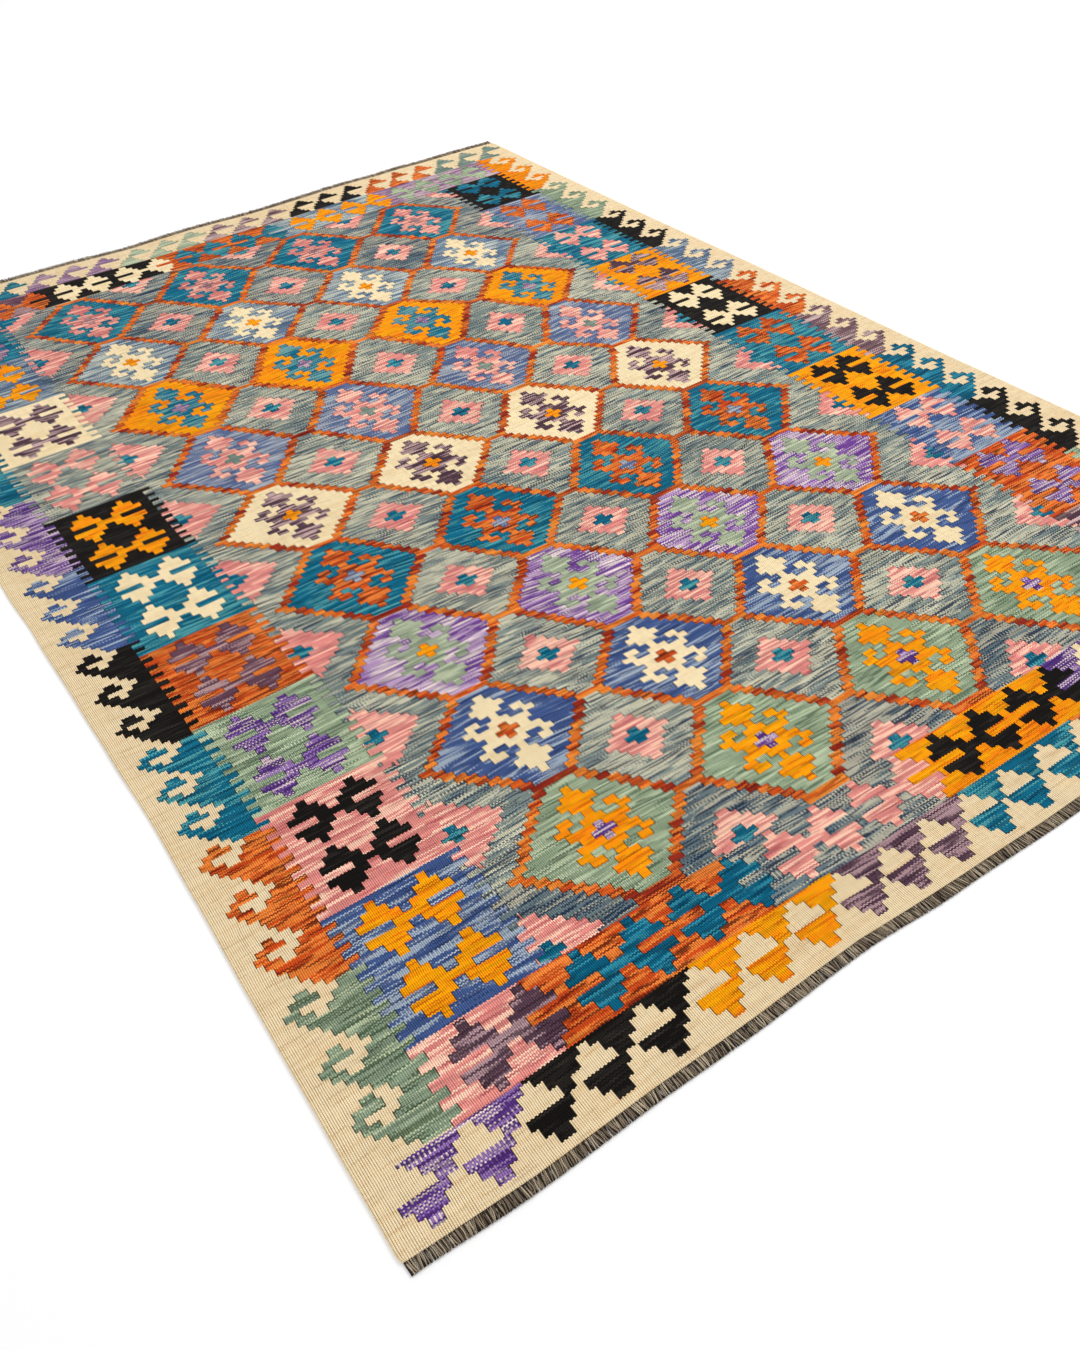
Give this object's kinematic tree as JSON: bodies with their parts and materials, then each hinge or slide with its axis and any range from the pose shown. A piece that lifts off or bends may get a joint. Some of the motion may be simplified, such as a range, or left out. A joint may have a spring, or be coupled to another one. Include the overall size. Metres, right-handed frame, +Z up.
{
  "type": "kilim rug",
  "caption": "Flat-woven floor rug, a thin rectangular sheet with gently wandering edges and a short fringe of cut warp ends at both ends.",
  "frame": {"origin": "middle of the rug's outline, on the floor", "axes": "+X across the rug, along its fringed ends; +Y along its length, towards the far fringed end; +Z up out of the face"},
  "size_m": [2.049, 2.9872, 0.003],
  "materials": {
    "wool_weave": "matt weft-faced wool weave, many colours",
    "warp_fringe": "matt spun warp ends, greyish brown"
  },
  "bodies": {
    "root": {"kilim_cloth": "wool_weave", "fringe_near": "warp_fringe", "fringe_far": "warp_fringe"}
  },
  "joints": []
}
